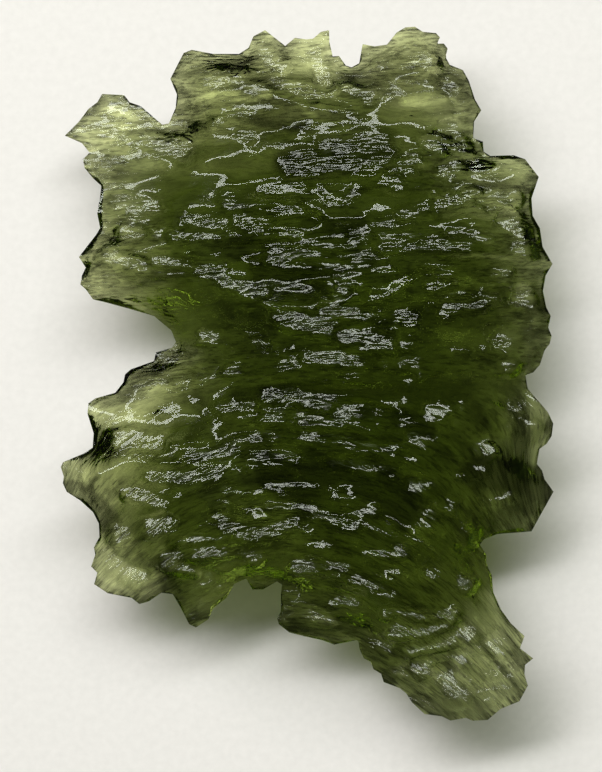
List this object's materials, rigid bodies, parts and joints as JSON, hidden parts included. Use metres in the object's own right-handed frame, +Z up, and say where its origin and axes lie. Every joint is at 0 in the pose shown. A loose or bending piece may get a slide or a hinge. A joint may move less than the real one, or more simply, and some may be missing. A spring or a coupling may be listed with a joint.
{
  "type": "moldavite",
  "caption": "Natural piece of bottle green glass, flat and irregular, with a toothed rim, furrows, scoops and pits, lying on its back face.",
  "frame": {"origin": "centre of the bounding box in plan, at the level of the paper the stone lies on", "axes": "+Z up from the paper through the stone's thickness, +Y along its length towards the end with the side wing, +X to the right seen from above"},
  "size_m": [0.0256, 0.0362, 0.0083],
  "materials": {
    "moldavite_glass": "natural etched surface, glossy on the ridges"
  },
  "bodies": {
    "root": {"moldavite": "moldavite_glass"}
  },
  "joints": []
}
